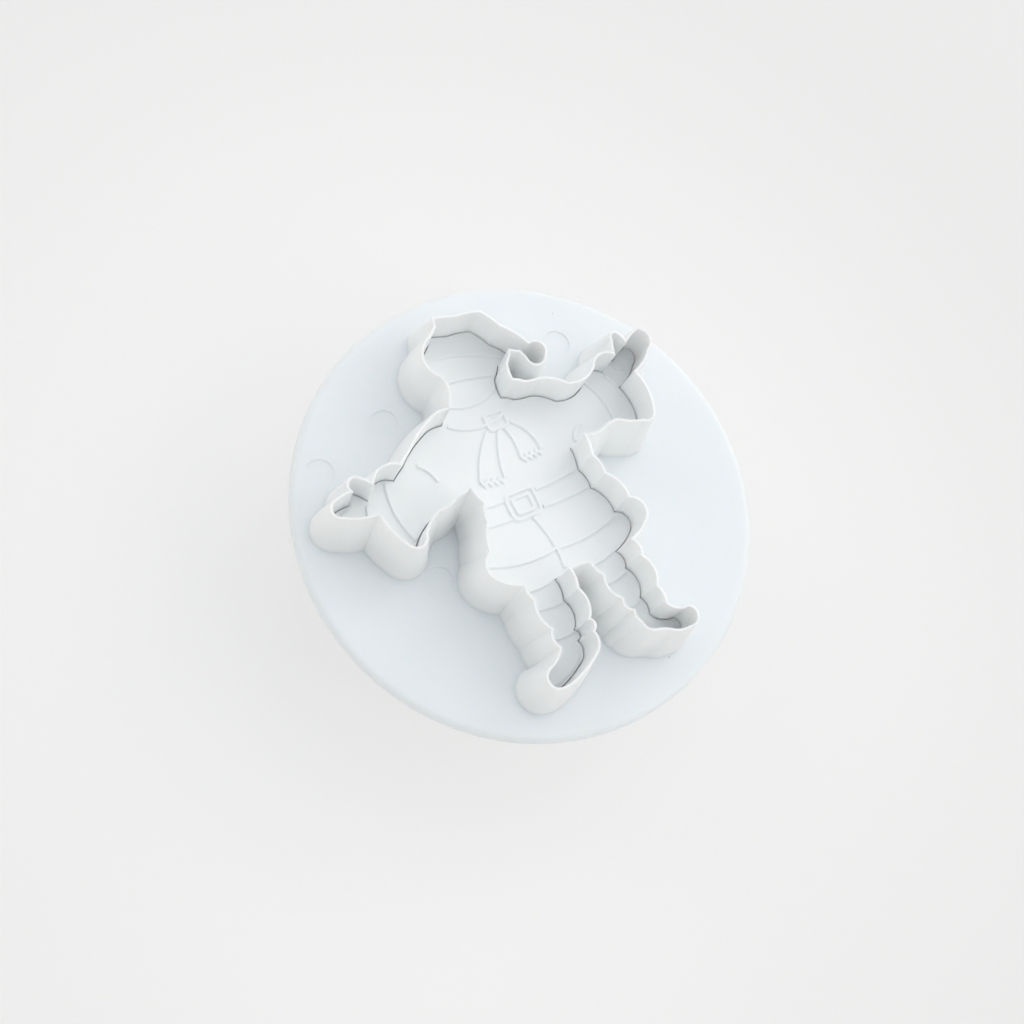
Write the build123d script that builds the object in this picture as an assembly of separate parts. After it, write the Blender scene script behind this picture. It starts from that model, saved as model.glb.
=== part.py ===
from build123d import *
from math import atan, cos, degrees, pi, sin, sqrt
import os

# Plunger cutter in white plastic. It stands on its knob with the cutting edge up.
# The plunger axis is Z, the knob's end face lies on Z = 0 and the figure's head points to +Y.
# All lengths are millimetres.

# Disc
disc_diameter = 98.0
disc_thickness = 2.2
disc_front_radius = 1.6
disc_back_radius = 0.4
witness_diameter = 6.0
witness_depth = 0.25

# Blade
figure_height = 77.0
blade_height = 14.0
edge_thickness = 0.45
blade_spread = 2.5
corner_reach_share = 1.25

# Ejector plate
plate_clearance = 0.2
plate_recess = 9.0
plate_web = 2.4
relief_height = 0.4
relief_width = 0.5
relief_foot_height = 0.2
relief_foot_width = 0.9
plate_margin = 0.3
rib_width = 1.4
hub_wall = 3.0
travel = 9.5

# Stem and its guide
stem_diameter = 8.0
stem_fit = 0.05
stem_chamfer = 0.5
guide_clearance = 0.25
guide_length = 9.0
guide_wall = 2.3
socket_floor = 1.8

# Return spring and its washer; the spring stands round the guide
wire_diameter = 1.1
spring_turns = 7
spring_inner_clearance = 0.9
spring_outer_clearance = 1.15
washer_thickness = 0.8
washer_lip = 1.45
washer_clearance = 0.3

# Handle barrel, pushed on a spigot round the spring
spigot_wall = 2.0
spigot_height = 4.0
barrel_fit = 0.1
barrel_wall = 2.2
barrel_length = 24.2
flange_width = 6.0
flange_thickness = 2.4
flange_fillet = 2.0
lip_radius = 0.8

# Knob
knob_wall = 2.4
knob_height = 17.0
knob_floor = 3.6
knob_clearance = 0.6
bottoming_clearance = 0.5
knob_end_radius = 3.0
knob_rim_radius = 0.8
knob_boss_wall = 2.15
knob_socket_floor = 2.2
knob_socket_depth = 5.0

# Knob screw and plug
screw_diameter = 2.9
screw_length = 12.0
screw_head_diameter = 6.0
screw_head_height = 1.9
screw_slot_length = 3.6
screw_slot_width = 1.0
screw_slot_depth = 0.8
screw_fit = 0.05
screw_head_clearance = 0.4
plug_diameter = 11.8
plug_thickness = 1.4
plug_inset = 0.2
plug_fit = 0.1

# One overrun serves all cuts
overrun = 1.0
match_gap = 0.01

# Heights and radii that follow from the sizes above
disc_radius = disc_diameter / 2
stem_radius = stem_diameter / 2
guide_bore_radius = stem_radius + guide_clearance
guide_radius = guide_bore_radius + guide_wall
wire_radius = wire_diameter / 2
spring_radius = guide_radius + spring_inner_clearance + wire_radius
spigot_bore_radius = spring_radius + wire_radius + spring_outer_clearance
spigot_radius = spigot_bore_radius + spigot_wall
barrel_bore_radius = spigot_radius + barrel_fit
barrel_radius = barrel_bore_radius + barrel_wall
flange_radius = barrel_radius + flange_width
hub_radius = stem_radius + hub_wall
barrel_end_z = knob_floor + travel + bottoming_clearance
disc_back_z = barrel_end_z + barrel_length
disc_face_z = disc_back_z + disc_thickness
edge_z = disc_face_z + blade_height
plate_face_z = edge_z - plate_recess
plate_back_z = plate_face_z - plate_web
stem_bottom_z = knob_floor + knob_socket_floor
stem_top_z = plate_face_z - socket_floor
guide_end_z = disc_back_z - guide_length
knob_bore_radius = barrel_radius + knob_clearance
knob_radius = knob_bore_radius + knob_wall
knob_boss_radius = stem_radius + stem_fit + knob_boss_wall
knob_boss_top_z = stem_bottom_z + knob_socket_depth
plug_seat_z = plug_inset + plug_thickness
screw_head_z = plug_seat_z + screw_head_height
spring_start_z = knob_floor + washer_thickness
cut_line = edge_thickness / 2

# The figure's cut line, anticlockwise from the crest of the hat. Each row is a corner,
# x and y as shares of the figure's height, and the bulge of the stretch that leaves it
# as a share of that stretch. A positive bulge swells outward.
figure_shares = [
    (-0.086, 0.512, 0.05), (-0.092, 0.489, -0.05), (-0.126, 0.463, 0.27),
    (-0.136, 0.356, -0.14), (-0.156, 0.271, 0.09), (-0.216, 0.262, 0.04),
    (-0.302, 0.203, 0.03), (-0.336, 0.180, 0.26), (-0.421, 0.156, 0.06),
    (-0.455, 0.193, 0.34), (-0.477, 0.160, 0.06), (-0.524, 0.154, 0.42),
    (-0.523, 0.106, 0.08), (-0.438, 0.084, 0.06), (-0.405, -0.016, 0.40),
    (-0.352, -0.006, -0.05), (-0.298, 0.036, 0.10), (-0.239, 0.052, 0.09),
    (-0.194, 0.066, 0.08), (-0.180, 0.010, 0.09), (-0.195, -0.038, 0.08),
    (-0.223, -0.110, 0.27), (-0.238, -0.181, 0.08), (-0.180, -0.218, 0.11),
    (-0.175, -0.264, 0.15), (-0.166, -0.347, 0.20), (-0.168, -0.396, -0.08),
    (-0.212, -0.430, 0.42), (-0.210, -0.487, 0.05), (-0.176, -0.485, 0.04),
    (-0.089, -0.445, 0.18), (-0.072, -0.392, 0.32), (-0.067, -0.361, 0.16),
    (-0.058, -0.281, 0.08), (-0.054, -0.226, -0.04), (0.004, -0.231, 0.10),
    (0.021, -0.275, 0.18), (0.039, -0.349, 0.28), (0.053, -0.386, 0.16),
    (0.056, -0.423, 0.18), (0.084, -0.455, -0.05), (0.130, -0.477, 0.06),
    (0.171, -0.484, 0.44), (0.191, -0.434, -0.15), (0.140, -0.405, 0.12),
    (0.138, -0.356, 0.17), (0.139, -0.270, 0.18), (0.134, -0.221, 0.06),
    (0.195, -0.190, 0.29), (0.182, -0.118, 0.12), (0.152, -0.036, 0.09),
    (0.143, 0.020, 0.05), (0.150, 0.080, 0.08), (0.193, 0.071, -0.06),
    (0.254, 0.084, 0.06), (0.320, 0.056, 0.24), (0.358, 0.062, 0.10),
    (0.364, 0.188, 0.08), (0.431, 0.232, 0.33), (0.430, 0.296, 0.07),
    (0.381, 0.272, 0.05), (0.372, 0.300, 0.48), (0.346, 0.292, 0.04),
    (0.333, 0.251, 0.28), (0.262, 0.240, -0.16), (0.170, 0.224, 0.08),
    (0.108, 0.262, -0.04), (0.064, 0.268, 0.07), (0.036, 0.284, -0.05),
    (0.043, 0.333, 0.06), (0.066, 0.362, 0.05), (0.089, 0.350, -0.06),
    (0.099, 0.322, 0.40), (0.151, 0.314, 0.42), (0.125, 0.361, 0.05),
    (0.073, 0.434, 0.03), (0.040, 0.488, 0.04), (-0.030, 0.497, 0.02),
]

# Spans of rows of figure_shares that bound each limb. Between two spans a straight line
# crosses the figure.
limb_span_shares = {
    "head and hat": [(74, 82), (68, 71)],
    "bobble": [(71, 74)],
    "coat": [(18, 23), (34, 35), (47, 52), (65, 68)],
    "lowered sleeve": [(4, 8), (13, 18)],
    "lowered thumb": [(8, 10)],
    "lowered mitten": [(10, 13)],
    "left leg": [(23, 34)],
    "right leg": [(35, 47)],
    "raised sleeve": [(52, 57), (63, 65)],
    "raised mitten": [(57, 60)],
    "raised thumb": [(60, 63)],
}

# Raised lines on the plate, each an arc through three points, as shares of the figure's height
relief_arc_shares = [
    ((-0.135, 0.445), (-0.030, 0.435), (0.085, 0.385)),
    ((-0.120, 0.372), (-0.040, 0.366), (0.040, 0.348)),
    ((0.103, 0.330), (0.106, 0.346), (0.120, 0.352)),
    ((-0.125, 0.315), (-0.045, 0.290), (0.028, 0.315)),
    ((-0.140, 0.258), (-0.050, 0.225), (0.045, 0.255)),
    ((-0.045, 0.208), (-0.090, 0.155), (-0.125, 0.085)),
    ((-0.015, 0.200), (-0.042, 0.142), (-0.058, 0.075)),
    ((0.003, 0.200), (0.012, 0.155), (0.008, 0.108)),
    ((0.025, 0.212), (0.060, 0.168), (0.070, 0.112)),
    ((-0.170, 0.025), (-0.130, 0.020), (-0.092, 0.018)),
    ((-0.172, -0.026), (-0.132, -0.032), (-0.092, -0.034)),
    ((0.002, 0.017), (0.065, 0.019), (0.128, 0.026)),
    ((0.002, -0.034), (0.065, -0.035), (0.138, -0.030)),
    ((-0.036, -0.050), (-0.020, -0.110), (-0.018, -0.205)),
    ((-0.215, -0.120), (-0.118, -0.150), (-0.018, -0.148)),
    ((-0.018, -0.148), (0.085, -0.150), (0.172, -0.127)),
    ((-0.168, -0.212), (-0.110, -0.226), (-0.062, -0.218)),
    ((0.012, -0.222), (0.070, -0.226), (0.124, -0.212)),
    ((-0.172, -0.266), (-0.118, -0.280), (-0.062, -0.282)),
    ((0.026, -0.276), (0.080, -0.286), (0.136, -0.271)),
    ((-0.162, -0.349), (-0.114, -0.364), (-0.070, -0.361)),
    ((0.042, -0.350), (0.090, -0.366), (0.135, -0.357)),
    ((-0.212, -0.464), (-0.160, -0.460), (-0.094, -0.424)),
    ((0.074, -0.432), (0.125, -0.455), (0.184, -0.455)),
    ((-0.358, 0.178), (-0.368, 0.095), (-0.348, 0.010)),
    ((-0.424, 0.138), (-0.433, 0.118), (-0.428, 0.098)),
    ((-0.458, 0.162), (-0.478, 0.142), (-0.498, 0.138)),
    ((0.272, 0.238), (0.300, 0.165), (0.295, 0.084)),
    ((0.336, 0.236), (0.350, 0.215), (0.354, 0.196)),
    ((0.376, 0.258), (0.388, 0.240), (0.404, 0.234)),
    ((-0.262, 0.190), (-0.240, 0.165), (-0.228, 0.130)),
    ((0.170, 0.096), (0.182, 0.122), (0.208, 0.136)),
]

# Pinked ends of the scarf: first and last tooth root, as shares of the figure's height
scarf_end_shares = [((-0.125, 0.085), (-0.058, 0.075)), ((0.008, 0.108), (0.070, 0.112))]
scarf_teeth = 4
tooth_depth_share = 0.3

# Scarf knot and belt buckle: centre, width and height as shares of the figure's height
knot_shares = (-0.010, 0.228, 0.056, 0.046)
buckle_shares = (-0.045, -0.008, 0.082, 0.072)
buckle_bar_share = 0.6
frame_corner_share = 0.28

# Stiffening ribs under the plate, from the hub to the limbs, as shares of the figure's height
rib_shares = [
    [(0.0, 0.0), (-0.040, 0.250), (-0.040, 0.440)],
    [(0.0, 0.0), (-0.160, 0.170), (-0.360, 0.090), (-0.490, 0.125)],
    [(0.0, 0.0), (0.150, 0.160), (0.300, 0.150), (0.390, 0.240)],
    [(0.0, 0.0), (-0.120, -0.160), (-0.115, -0.400), (-0.185, -0.455)],
    [(0.0, 0.0), (0.070, -0.160), (0.085, -0.390), (0.165, -0.452)],
]

# Ejector-pin witness marks on the disc: places as shares of the disc's radius
witness_shares = [(-0.765, 0.441), (-0.428, 0.542), (0.441, 0.611), (-0.507, -0.155)]


def disc_at(radius, bottom, top):
    # solid round from one height to another on the plunger axis
    return Pos(0, 0, bottom) * Cylinder(radius, top - bottom, align=(Align.CENTER, Align.CENTER, Align.MIN))


def ring_at(outer, inner, bottom, top):
    return disc_at(outer, bottom, top) - disc_at(inner, bottom - overrun, top + overrun)


def round_edges(part, radius, height):
    # circular edges of one radius at one height
    circles = part.edges().filter_by(GeomType.CIRCLE)
    return [e for e in circles if abs(e.radius - radius) < match_gap and abs(e.center().Z - height) < match_gap]


def figure_rows(spans):
    # the rows of one limb; None stands for the bulge of a straight line across the figure
    rows = []
    for first, last in spans:
        rows += [figure_shares[k % len(figure_shares)] for k in range(first, last)]
        x, y, bulge = figure_shares[last % len(figure_shares)]
        rows.append((x, y, None))
    return rows


def moved_arc(start, middle, end, bulge):
    # arc through the moved middle, or with the old bulge where its neighbours crowd it
    chord = end - start
    progress = (middle - start).dot(chord) / chord.dot(chord)
    if abs(progress - 0.5) > 0.25:
        outward = Vector(chord.Y, -chord.X).normalized()
        middle = (start + end) * 0.5 + outward * chord.length * bulge
    return ThreePointArc(start, middle, end)


def figure_face(distance, spans=None):
    # the whole figure, or one limb, with its outline moved outward by a distance
    rows = figure_rows(spans) if spans else figure_shares
    count = len(rows)
    corners = [Vector(x, y) * figure_height for x, y, bulge in rows]
    bulges = [bulge for x, y, bulge in rows]
    starts = []
    middles = []
    ends = []
    for k in range(count):
        chord = corners[(k + 1) % count] - corners[k]
        outward = Vector(chord.Y, -chord.X).normalized()
        bulge = bulges[k] or 0
        lean = degrees(2 * atan(2 * bulge))
        starts.append(outward.rotate(Axis.Z, -lean))
        middles.append(corners[k] + chord * 0.5 + outward * (chord.length * bulge + distance))
        ends.append(outward.rotate(Axis.Z, lean))
    moved = []
    for k in range(count):
        # a straight line across the figure takes its end from the stretch beside it
        arriving = starts[k] if bulges[k - 1] is None else ends[k - 1]
        leaving = ends[k - 1] if bulges[k] is None else starts[k]
        bisector = (arriving + leaving).normalized()
        reach = min(1 / bisector.dot(leaving), corner_reach_share)
        moved.append(corners[k] + bisector * distance * reach)
    edges = []
    for k in range(count):
        start, end = moved[k], moved[(k + 1) % count]
        if bulges[k] is None:
            edges.append(Line(start, end))
        else:
            edges.append(moved_arc(start, middles[k], end, bulges[k]))
    return Face(Wire(edges))


def figure_point(shares):
    return Vector(shares[0], shares[1]) * figure_height


def drafted_blade():
    # each limb's outer wall is ruled from a wide foot to the thin edge, and where two limbs
    # come close their walls run together; the inner wall is straight
    blade = extrude(Pos(0, 0, disc_face_z) * figure_face(0), blade_height)
    for spans in limb_span_shares.values():
        foot = Pos(0, 0, disc_face_z) * figure_face(cut_line + blade_spread, spans)
        edge = Pos(0, 0, edge_z) * figure_face(cut_line, spans)
        blade += Solid.make_loft([foot.outer_wire(), edge.outer_wire()], ruled=True)
    recess = Pos(0, 0, disc_face_z - overrun) * figure_face(-cut_line)
    return blade - extrude(recess, blade_height + 2 * overrun)


def cutter_body():
    # disc with a rounded front edge
    disc = disc_at(disc_radius, disc_back_z, disc_face_z)
    disc = fillet(round_edges(disc, disc_radius, disc_face_z), disc_front_radius)
    disc = fillet(round_edges(disc, disc_radius, disc_back_z), disc_back_radius)
    # spigot that locates the handle and tube that guides the stem
    disc += ring_at(spigot_radius, spigot_bore_radius, disc_back_z - spigot_height, disc_back_z)
    disc += disc_at(guide_radius, guide_end_z, disc_back_z)
    disc -= disc_at(guide_bore_radius, guide_end_z - overrun, disc_face_z + overrun)
    for x, y in witness_shares:
        mark = disc_at(witness_diameter / 2, disc_face_z - witness_depth, disc_face_z + overrun)
        disc -= Pos(x * disc_radius, y * disc_radius, 0) * mark
    return disc + drafted_blade()


def handle_barrel():
    barrel = disc_at(barrel_radius, barrel_end_z, disc_back_z)
    barrel += disc_at(flange_radius, disc_back_z - flange_thickness, disc_back_z)
    barrel = fillet(round_edges(barrel, barrel_radius, disc_back_z - flange_thickness), flange_fillet)
    barrel = fillet(round_edges(barrel, flange_radius, disc_back_z - flange_thickness), lip_radius)
    barrel -= disc_at(barrel_bore_radius, barrel_end_z - overrun, disc_back_z + overrun)
    return fillet(round_edges(barrel, barrel_radius, barrel_end_z), lip_radius)


def frame_lines(centre_x, centre_y, width, height, line_width):
    # one raised line along a rounded rectangle
    corner = min(width, height) * frame_corner_share
    outer = RectangleRounded(width + line_width, height + line_width, corner)
    inner = RectangleRounded(width - line_width, height - line_width, corner / 2)
    return Pos(centre_x, centre_y) * (outer - inner)


def relief_sketch(line_width):
    # all raised lines of the plate as one flat sketch
    lines = Sketch()
    for shares in relief_arc_shares:
        start, middle, end = [figure_point(s) for s in shares]
        lines += trace(ThreePointArc(start, middle, end), line_width)
    for first_share, last_share in scarf_end_shares:
        first = figure_point(first_share)
        step = (figure_point(last_share) - first) * (1 / scarf_teeth)
        drop = Vector(step.Y, -step.X).normalized() * step.length * 2 * tooth_depth_share
        points = [first]
        for k in range(scarf_teeth):
            points.append(first + step * (k + 0.5) + drop)
            points.append(first + step * (k + 1))
        lines += trace(Polyline(*points), line_width)
    x, y, width, height = [share * figure_height for share in knot_shares]
    lines += frame_lines(x, y, width, height, line_width)
    x, y, width, height = [share * figure_height for share in buckle_shares]
    lines += frame_lines(x, y, width, height, line_width)
    lines += frame_lines(x, y, width * buckle_bar_share, height * buckle_bar_share, line_width)
    return lines & figure_face(-cut_line - plate_clearance - plate_margin)


def ejector_plate():
    outline = figure_face(-cut_line - plate_clearance)
    plate = extrude(Pos(0, 0, plate_back_z) * outline, plate_web)
    # ribs and hub stand on the disc when the plunger is at rest
    ribs = Sketch() + Circle(hub_radius)
    for path_shares in rib_shares:
        ribs += trace(Polyline(*[figure_point(s) for s in path_shares]), rib_width)
    ribs &= figure_face(-cut_line - plate_clearance - plate_margin)
    plate += extrude(Pos(0, 0, disc_face_z) * ribs, plate_back_z - disc_face_z)
    # each raised line has a low foot and a narrower crest
    plate += extrude(Pos(0, 0, plate_face_z) * relief_sketch(relief_foot_width), relief_foot_height)
    plate += extrude(Pos(0, 0, plate_face_z) * relief_sketch(relief_width), relief_height)
    return plate - disc_at(stem_radius + stem_fit, disc_face_z - overrun, stem_top_z)


def plunger_stem():
    stem = disc_at(stem_radius, stem_bottom_z, stem_top_z)
    stem = chamfer(round_edges(stem, stem_radius, stem_top_z), stem_chamfer)
    stem = chamfer(round_edges(stem, stem_radius, stem_bottom_z), stem_chamfer)
    pilot_top_z = screw_head_z + screw_length + screw_fit
    return stem - disc_at(screw_diameter / 2 + screw_fit, stem_bottom_z - overrun, pilot_top_z)


def plunger_knob():
    knob = disc_at(knob_radius, 0, knob_height)
    knob -= disc_at(knob_bore_radius, knob_floor, knob_height + overrun)
    knob = fillet(round_edges(knob, knob_radius, 0), knob_end_radius)
    knob = fillet(round_edges(knob, knob_radius, knob_height), knob_rim_radius)
    knob += disc_at(knob_boss_radius, knob_floor, knob_boss_top_z)
    knob -= disc_at(stem_radius + stem_fit, stem_bottom_z, knob_boss_top_z + overrun)
    knob -= disc_at(plug_diameter / 2 + plug_fit, -overrun, plug_seat_z)
    knob -= disc_at(screw_head_diameter / 2 + screw_head_clearance, 0, screw_head_z)
    return knob - disc_at(screw_diameter / 2 + screw_fit, 0, stem_bottom_z + overrun)


def knob_screw():
    head = disc_at(screw_head_diameter / 2, plug_seat_z, screw_head_z)
    for turn in (0, 90):
        slot = Box(screw_slot_length, screw_slot_width, 2 * screw_slot_depth)
        head -= Pos(0, 0, plug_seat_z) * Rot(0, 0, turn) * slot
    return head + disc_at(screw_diameter / 2, screw_head_z, screw_head_z + screw_length)


def knob_plug():
    plug = disc_at(plug_diameter / 2, plug_inset, plug_seat_z)
    return chamfer(round_edges(plug, plug_diameter / 2, plug_inset), plug_inset)


def spring_washer():
    washer_radius = spring_radius + wire_radius + washer_lip
    return ring_at(washer_radius, knob_boss_radius + washer_clearance, knob_floor, spring_start_z)


def helix_point(turn, pitch, start):
    angle = 2 * pi * turn
    return Vector(spring_radius * cos(angle), spring_radius * sin(angle), start + pitch * turn)


def helix_tangent(turn, pitch):
    angle = 2 * pi * turn
    rise = pitch / (2 * pi * spring_radius)
    return Vector(-sin(angle), cos(angle), rise).normalized()


def return_spring():
    # open helix in quarter turns of two arcs each, both ends just clear of their seats
    start = spring_start_z + wire_radius
    pitch = (disc_back_z - wire_radius - start) / spring_turns
    arcs = []
    for quarter in range(4 * spring_turns):
        first, last = [helix_point(q / 4, pitch, start) for q in (quarter, quarter + 1)]
        leave, arrive = [helix_tangent(q / 4, pitch) for q in (quarter, quarter + 1)]
        span = last - first
        a = 2 * (leave.dot(arrive) - 1)
        b = -2 * span.dot(leave + arrive)
        c = span.dot(span)
        handle = (-b - sqrt(b * b - 4 * a * c)) / (2 * a)
        near = first + leave * handle
        far = last - arrive * handle
        middle = (near + far) * 0.5
        arcs.append(TangentArc(first, middle, tangent=leave))
        arcs.append(TangentArc(middle, last, tangent=far - near))
    path = Wire(arcs)
    section = Plane(origin=path @ 0, z_dir=path % 0) * Circle(wire_radius)
    spring = sweep(section, path=path)
    print("spring volume over wire volume", spring.volume / (pi * wire_radius**2 * path.length))
    print("least gap between turns", pitch - wire_diameter)
    return spring


pieces = {
    "cutter_body": cutter_body,
    "handle_barrel": handle_barrel,
    "ejector_plate": ejector_plate,
    "plunger_stem": plunger_stem,
    "return_spring": return_spring,
    "spring_washer": spring_washer,
    "plunger_knob": plunger_knob,
    "knob_screw": knob_screw,
    "knob_plug": knob_plug,
}

os.makedirs("parts", exist_ok=True)
for name, make in pieces.items():
    piece = make()
    piece.label = name
    export_step(piece, f"parts/{name}.step")
    print(name, len(piece.solids()), round(piece.volume))
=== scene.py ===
import bmesh
import bpy
from mathutils import Matrix, Vector


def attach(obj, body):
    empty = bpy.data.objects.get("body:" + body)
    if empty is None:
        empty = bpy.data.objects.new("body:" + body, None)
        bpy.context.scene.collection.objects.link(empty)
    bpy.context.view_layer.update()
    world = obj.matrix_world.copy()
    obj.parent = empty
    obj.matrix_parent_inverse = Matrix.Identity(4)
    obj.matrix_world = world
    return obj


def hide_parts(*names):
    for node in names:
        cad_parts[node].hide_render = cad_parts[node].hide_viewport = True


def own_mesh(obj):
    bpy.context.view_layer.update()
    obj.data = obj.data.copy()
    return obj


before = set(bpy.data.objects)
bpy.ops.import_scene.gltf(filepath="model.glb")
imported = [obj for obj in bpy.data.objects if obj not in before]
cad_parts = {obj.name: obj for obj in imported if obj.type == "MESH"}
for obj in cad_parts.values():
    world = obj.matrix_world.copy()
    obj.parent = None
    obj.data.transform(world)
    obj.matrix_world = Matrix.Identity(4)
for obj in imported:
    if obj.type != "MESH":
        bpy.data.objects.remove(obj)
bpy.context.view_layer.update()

# Plunger cutter in white moulded plastic, standing on its knob with the cutting edge up.
# All lengths are metres unless a name says mm.

print("frame loaded", sorted(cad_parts))

shot = {
    "place": (-0.0997, -0.0471, 0.2898),
    "right": (0.8656, -0.4346, 0.2486),
    "up": (0.3571, 0.8840, 0.3017),
    "lens": 46.8,
    "sensor": 36.0,
    "near": 0.01,
    "far": 20.0,
}

table = {
    "size": 8.0,
    "colour": "#F7F6F4",
    "roughness": 0.9,
    "liftColour": "#FFFFFF",
    # painted light: the card seen by the camera darkens from white towards this grey away from the cutter
    "paintedFalloffColour": "#EAEAEA",
    "liftNear": 0.04,
    "liftFar": 0.19,
    "liftShare": 0.45,
    "liftStrength": 1.0,
}

# each lamp: where it stands, watts and colour; all are soft squares turned to the cutter
lamps = {
    "rightLamp": {"place": (1.17, 0.21, 0.78), "power": 4.1, "colour": "#FFFDFA"},
    "frontLamp": {"place": (0.70, -0.70, 1.03), "power": 2.8, "colour": "#FFFDFA"},
    "backLamp": {"place": (-0.41, 1.12, 0.78), "power": 2.5, "colour": "#FFFFFF"},
    "topLamp": {"place": (0.49, 0.49, 1.25), "power": 2.1, "colour": "#FFFFFF"},
}
lampHead = {"aim": (0, 0, 0.04), "side": 1.0}

# the ceiling is cool daylight and the walls of the room are warmer
sky = {"ceiling": "#EFF6FF", "walls": "#FFFAF0", "strength": 0.71, "seen": "#EFEFEF", "seenStrength": 1.0}

mm = 0.001


def linearColour(hexText, alpha=1.0):
    # sRGB hex to the linear values that shaders use
    parts = [int(hexText[k:k + 2], 16) / 255 for k in (1, 3, 5)]
    return [c / 12.92 if c <= 0.04045 else ((c + 0.055) / 1.055) ** 2.4 for c in parts] + [alpha]


def addNode(tree, kind, settings=None, values=None, links=None):
    # one shader node with its settings, its socket values and what feeds it
    node = tree.nodes.new(kind)
    for name, value in (settings or {}).items():
        setattr(node, name, value)
    for socket, value in (values or {}).items():
        node.inputs[socket].default_value = value
    for socket, source in (links or {}).items():
        tree.links.new(source, node.inputs[socket])
    return node


def newMaterial(name):
    material = bpy.data.materials.new(name)
    material.use_nodes = True
    material.node_tree.nodes.clear()
    return material, material.node_tree


def finishMaterial(tree, shader):
    addNode(tree, "ShaderNodeOutputMaterial", links={"Surface": shader})


def mouldedPlastic(name, look):
    # white injection-moulded ABS: dense titanium white, even, with the mould's own skin
    material, tree = newMaterial(name)
    place = addNode(tree, "ShaderNodeTexCoord").outputs["Object"]
    # faint flow clouds left where the melt front cooled
    clouds = addNode(tree, "ShaderNodeTexNoise",
                     values={"Scale": 1 / look["cloudSize"], "Detail": look["cloudDetail"]},
                     links={"Vector": place})
    tone = addNode(tree, "ShaderNodeMix", {"data_type": "RGBA"},
                   {"A": linearColour(look["dark"]), "B": linearColour(look["light"])},
                   {"Factor": clouds.outputs["Fac"]})
    # rare dark specks of carbonised resin, one cell in many
    cells = addNode(tree, "ShaderNodeTexVoronoi", values={"Scale": 1 / look["speckSpacing"]},
                    links={"Vector": place})
    near = addNode(tree, "ShaderNodeMath", {"operation": "LESS_THAN"},
                   {1: look["speckSize"] / look["speckSpacing"]}, {0: cells.outputs["Distance"]})
    pick = addNode(tree, "ShaderNodeSeparateColor", links={"Color": cells.outputs["Color"]})
    chosen = addNode(tree, "ShaderNodeMath", {"operation": "LESS_THAN"}, {1: look["speckShare"]},
                     {0: pick.outputs["Red"]})
    speck = addNode(tree, "ShaderNodeMath", {"operation": "MULTIPLY"},
                    links={0: near.outputs[0], 1: chosen.outputs[0]})
    tint = addNode(tree, "ShaderNodeMix", {"data_type": "RGBA"}, {"B": linearColour(look["speckColour"])},
                   {"Factor": speck.outputs[0], "A": tone.outputs["Result"]})
    # painted glow and shade: below a set height the thick disc is painted darker than the blade's thin
    # wall, standing in for light that passes through the thin wall and makes it look paler
    height = addNode(tree, "ShaderNodeSeparateXYZ", links={"Vector": place})
    thin = addNode(tree, "ShaderNodeMapRange",
                   values={"From Min": look["thickBelow"], "From Max": look["thinAbove"]},
                   links={"Value": height.outputs["Z"]})
    paintedShadeTint = addNode(tree, "ShaderNodeMix", {"data_type": "RGBA"},
                    {"A": linearColour(look["thickPaintedShade"]), "B": linearColour(look["thinUnshadedTint"])},
                    {"Factor": thin.outputs["Result"]})
    shade = addNode(tree, "ShaderNodeMix", {"data_type": "RGBA", "blend_type": "MULTIPLY"}, {"Factor": 1.0},
                    {"A": tint.outputs["Result"], "B": paintedShadeTint.outputs["Result"]})
    # spark-eroded mould texture; real grain is 0.1 mm, drawn coarser so that it shows
    grain = addNode(tree, "ShaderNodeTexNoise",
                    values={"Scale": 1 / look["grainSize"], "Detail": look["grainDetail"]},
                    links={"Vector": place})
    skin = addNode(tree, "ShaderNodeBump",
                   values={"Strength": look["grainStrength"], "Distance": look["grainDepth"]},
                   links={"Height": grain.outputs["Fac"]})
    gloss = addNode(tree, "ShaderNodeMapRange",
                    values={"To Min": look["roughness"] - look["roughnessSpread"],
                            "To Max": look["roughness"] + look["roughnessSpread"]},
                    links={"Value": grain.outputs["Fac"]})
    shader = addNode(tree, "ShaderNodeBsdfPrincipled",
                     values={"IOR": look["ior"], "Metallic": 0.0, "Subsurface Weight": look["glow"],
                             "Subsurface Radius": look["glowReach"], "Subsurface Scale": look["glowDepth"]},
                     links={"Base Color": shade.outputs["Result"], "Roughness": gloss.outputs["Result"],
                            "Normal": skin.outputs["Normal"]})
    finishMaterial(tree, shader.outputs[0])
    return material


bodyLook = {
    "light": "#F6F8F8",
    "dark": "#F3F5F5",
    # painted shade on the thick disc; the thin walls above keep the plain tone
    "thickPaintedShade": "#F2F4F6",
    "thinUnshadedTint": "#FFFFFF",
    "thickBelow": 40.2 * mm,
    "thinAbove": 41.5 * mm,
    "cloudSize": 14 * mm,
    "cloudDetail": 2.0,
    "speckSpacing": 11 * mm,
    "speckSize": 0.14 * mm,
    "speckShare": 0.22,
    "speckColour": "#8E8B86",
    "grainSize": 0.45 * mm,
    "grainDetail": 3.0,
    "grainDepth": 0.02 * mm,
    "grainStrength": 0.25,
    "ior": 1.54,
    "roughness": 0.46,
    "roughnessSpread": 0.05,
    # light spreads under the skin, red a little further than blue
    "glow": 0.8,
    "glowReach": (1.0, 0.95, 0.88),
    "glowDepth": 2.4 * mm,
}
plateLook = dict(bodyLook, cloudSize=9 * mm, roughness=0.48, glow=0.3, glowDepth=0.5 * mm)
gripLook = dict(bodyLook, grainSize=0.6 * mm, roughness=0.38)


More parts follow.
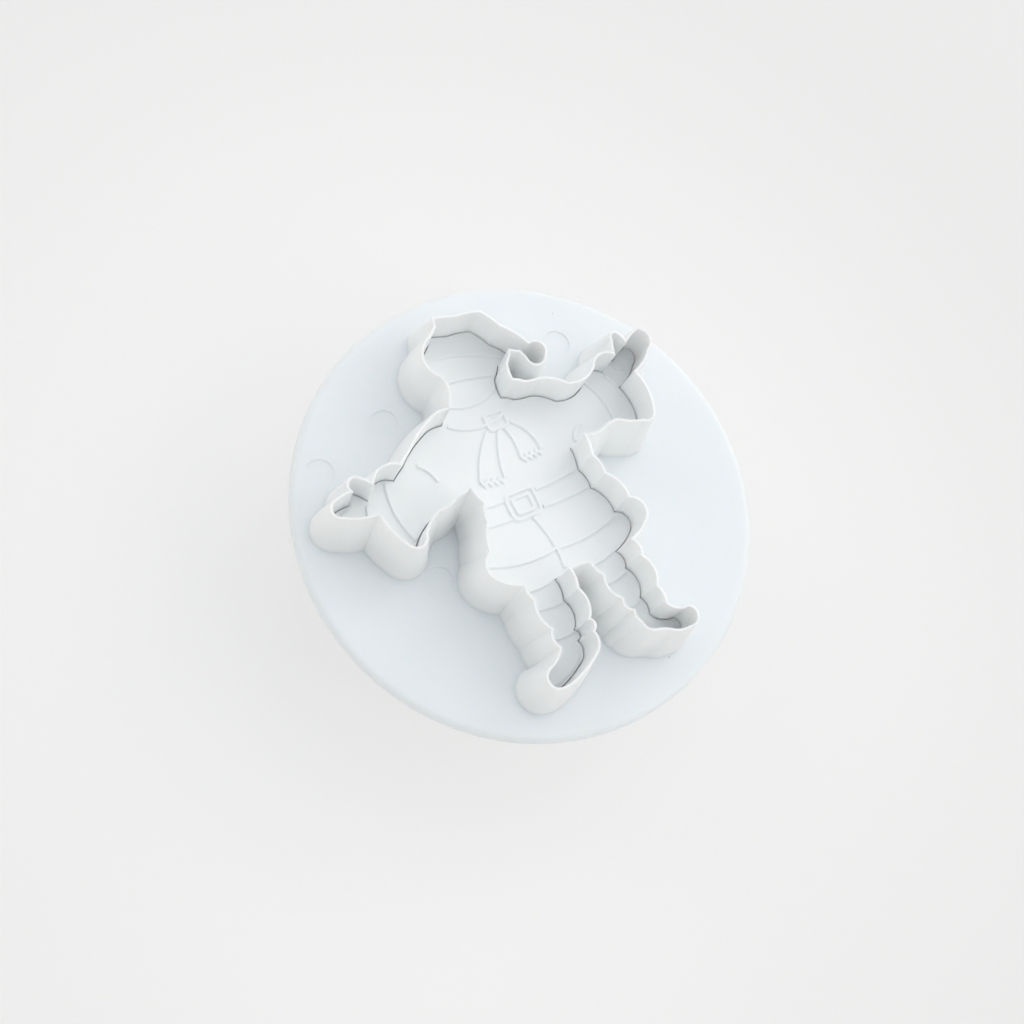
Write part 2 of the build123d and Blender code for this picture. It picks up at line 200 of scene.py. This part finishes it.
def drawnSteel(name, look):
    # bright stainless wire and sheet: fine lines along the draw, a little warm
    material, tree = newMaterial(name)
    place = addNode(tree, "ShaderNodeTexCoord").outputs["Object"]
    turned = addNode(tree, "ShaderNodeMapping", values={"Scale": look["lineStretch"]},
                     links={"Vector": place})
    lines = addNode(tree, "ShaderNodeTexNoise",
                    values={"Scale": 1 / look["lineSize"], "Detail": look["lineDetail"]},
                    links={"Vector": turned.outputs["Vector"]})
    tone = addNode(tree, "ShaderNodeMix", {"data_type": "RGBA"},
                   {"A": linearColour(look["dark"]), "B": linearColour(look["light"])},
                   {"Factor": lines.outputs["Fac"]})
    gloss = addNode(tree, "ShaderNodeMapRange",
                    values={"To Min": look["roughness"] - look["roughnessSpread"],
                            "To Max": look["roughness"] + look["roughnessSpread"]},
                    links={"Value": lines.outputs["Fac"]})
    skin = addNode(tree, "ShaderNodeBump",
                   values={"Strength": look["lineStrength"], "Distance": look["lineDepth"]},
                   links={"Height": lines.outputs["Fac"]})
    shader = addNode(tree, "ShaderNodeBsdfPrincipled", values={"Metallic": 1.0},
                     links={"Base Color": tone.outputs["Result"], "Roughness": gloss.outputs["Result"],
                            "Normal": skin.outputs["Normal"]})
    finishMaterial(tree, shader.outputs[0])
    return material


wireLook = {
    "light": "#D2CFC9",
    "dark": "#B4B1AB",
    "lineStretch": (1.0, 1.0, 6.0),
    "lineSize": 0.3 * mm,
    "lineDetail": 4.0,
    "lineDepth": 0.01 * mm,
    "lineStrength": 0.3,
    "roughness": 0.28,
    "roughnessSpread": 0.08,
}
washerLook = dict(wireLook, lineStretch=(1.0, 1.0, 1.0), roughness=0.36)
screwLook = dict(wireLook, light="#CDD1D6", dark="#ADB2B8", lineStretch=(1.0, 1.0, 0.4), roughness=0.32)

bodyPlastic = mouldedPlastic("satinWhiteAbs", bodyLook)
platePlastic = mouldedPlastic("finerWhiteAbs", plateLook)
gripPlastic = mouldedPlastic("gripWhiteAbs", gripLook)
springSteel = drawnSteel("drawnStainlessWire", wireLook)
washerSteel = drawnSteel("pressedStainlessSheet", washerLook)
screwSteel = drawnSteel("zincPlatedSteel", screwLook)

finishes = {
    "cutter_body": bodyPlastic,
    "handle_barrel": gripPlastic,
    "ejector_plate": platePlastic,
    "plunger_stem": gripPlastic,
    "return_spring": springSteel,
    "spring_washer": washerSteel,
    "plunger_knob": gripPlastic,
    "knob_screw": screwSteel,
    "knob_plug": gripPlastic,
}
for nodeName, material in finishes.items():
    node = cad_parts[nodeName]
    node.data.materials.clear()
    node.data.materials.append(material)
print("materials on", len(finishes), "nodes")

# the spring is held by the cutter
springFit = {
    "travel": 9.5 * mm,
    "mergeWithin": 0.001 * mm,
    "sharpAngle": 0.7,  # radians, so only the wire's cut ends stay sharp
}


def squeezedSpring():
    mesh = bpy.data.meshes.new("squeezedSpring")
    shape = bmesh.new()
    shape.from_mesh(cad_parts["return_spring"].data)
    # the wire's triangles come loose, and joined they shade as one round surface
    bmesh.ops.remove_doubles(shape, verts=shape.verts, dist=springFit["mergeWithin"])
    for face in shape.faces:
        face.smooth = True
    for edge in shape.edges:
        edge.smooth = edge.calc_face_angle(0) < springFit["sharpAngle"]
    shape.to_mesh(mesh)
    shape.free()
    mesh.materials.append(springSteel)
    spring = bpy.data.objects.new("squeezedSpring", mesh)
    bpy.context.scene.collection.objects.link(spring)
    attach(spring, "cutter")
    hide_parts("return_spring")
    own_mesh(spring)


squeezedSpring()


def tableTop():
    mesh = bpy.data.meshes.new("tableTop")
    shape = bmesh.new()
    bmesh.ops.create_grid(shape, x_segments=1, y_segments=1, size=table["size"] / 2)
    shape.to_mesh(mesh)
    shape.free()
    top = bpy.data.objects.new("tableTop", mesh)
    bpy.context.scene.collection.objects.link(top)
    # pale matt card; the camera sees it lifted towards white, with a painted pool of light that is brighter
    # near the cutter and less so far out, and the shadow stays
    material, tree = newMaterial("paleCard")
    card = addNode(tree, "ShaderNodeBsdfDiffuse",
                   values={"Color": linearColour(table["colour"]), "Roughness": table["roughness"]})
    spot = addNode(tree, "ShaderNodeTexCoord").outputs["Object"]
    reach = addNode(tree, "ShaderNodeVectorMath", {"operation": "LENGTH"}, links={0: spot})
    paintedFalloff = addNode(tree, "ShaderNodeMapRange", {"interpolation_type": "SMOOTHSTEP"},
                   {"From Min": table["liftNear"], "From Max": table["liftFar"]},
                   {"Value": reach.outputs["Value"]})
    tint = addNode(tree, "ShaderNodeMix", {"data_type": "RGBA"},
                   {"A": linearColour(table["liftColour"]), "B": linearColour(table["paintedFalloffColour"])},
                   {"Factor": paintedFalloff.outputs["Result"]})
    lift = addNode(tree, "ShaderNodeEmission", values={"Strength": table["liftStrength"]},
                   links={"Color": tint.outputs["Result"]})
    path = addNode(tree, "ShaderNodeLightPath")
    share = addNode(tree, "ShaderNodeMath", {"operation": "MULTIPLY"}, {1: table["liftShare"]},
                    {0: path.outputs["Is Camera Ray"]})
    mixed = addNode(tree, "ShaderNodeMixShader",
                    links={0: share.outputs[0], 1: card.outputs[0], 2: lift.outputs[0]})
    finishMaterial(tree, mixed.outputs[0])
    mesh.materials.append(material)


def lightTheTable():
    world = bpy.data.worlds.new("studioSky")
    bpy.context.scene.world = world
    world.use_nodes = True
    tree = world.node_tree
    back = tree.nodes["Background"]
    back.inputs["Strength"].default_value = sky["strength"]
    direction = addNode(tree, "ShaderNodeTexCoord").outputs["Generated"]
    height = addNode(tree, "ShaderNodeSeparateXYZ", links={"Vector": direction})
    dome = addNode(tree, "ShaderNodeMix", {"data_type": "RGBA"},
                   {"A": linearColour(sky["walls"]), "B": linearColour(sky["ceiling"])},
                   {"Factor": height.outputs["Z"]})
    tree.links.new(dome.outputs["Result"], back.inputs["Color"])
    # the camera, and what shines, see a pale backdrop instead
    backdrop = addNode(tree, "ShaderNodeBackground",
                       values={"Color": linearColour(sky["seen"]), "Strength": sky["seenStrength"]})
    path = addNode(tree, "ShaderNodeLightPath")
    direct = addNode(tree, "ShaderNodeMath", {"operation": "ADD"},
                     links={0: path.outputs["Is Camera Ray"], 1: path.outputs["Is Glossy Ray"]})
    seen = addNode(tree, "ShaderNodeMath", {"operation": "ADD", "use_clamp": True},
                   links={0: direct.outputs[0], 1: path.outputs["Is Transmission Ray"]})
    both = addNode(tree, "ShaderNodeMixShader",
                   links={0: seen.outputs[0], 1: back.outputs[0], 2: backdrop.outputs[0]})
    tree.links.new(both.outputs[0], tree.nodes["World Output"].inputs["Surface"])
    for name, plan in lamps.items():
        data = bpy.data.lights.new(name, "AREA")
        data.shape = "SQUARE"
        data.size = lampHead["side"]
        data.energy = plan["power"]
        data.color = linearColour(plan["colour"])[:3]
        lamp = bpy.data.objects.new(name, data)
        lamp.location = plan["place"]
        toward = Vector(lampHead["aim"]) - Vector(plan["place"])
        lamp.rotation_euler = toward.to_track_quat("-Z", "Y").to_euler()
        bpy.context.scene.collection.objects.link(lamp)


def setCamera():
    right, up = Vector(shot["right"]).normalized(), Vector(shot["up"])
    back = right.cross(up).normalized()
    up = back.cross(right)
    data = bpy.data.cameras.new("photoCamera")
    data.lens = shot["lens"]
    data.sensor_width = shot["sensor"]
    data.clip_start, data.clip_end = shot["near"], shot["far"]
    camera = bpy.data.objects.new("photoCamera", data)
    turn = Matrix((right, up, back)).transposed().to_4x4()
    camera.matrix_world = Matrix.Translation(shot["place"]) @ turn
    bpy.context.scene.collection.objects.link(camera)
    bpy.context.scene.camera = camera


tableTop()
lightTheTable()
setCamera()
bpy.context.scene.view_settings.view_transform = "Standard"
print("table, lamps and camera set")
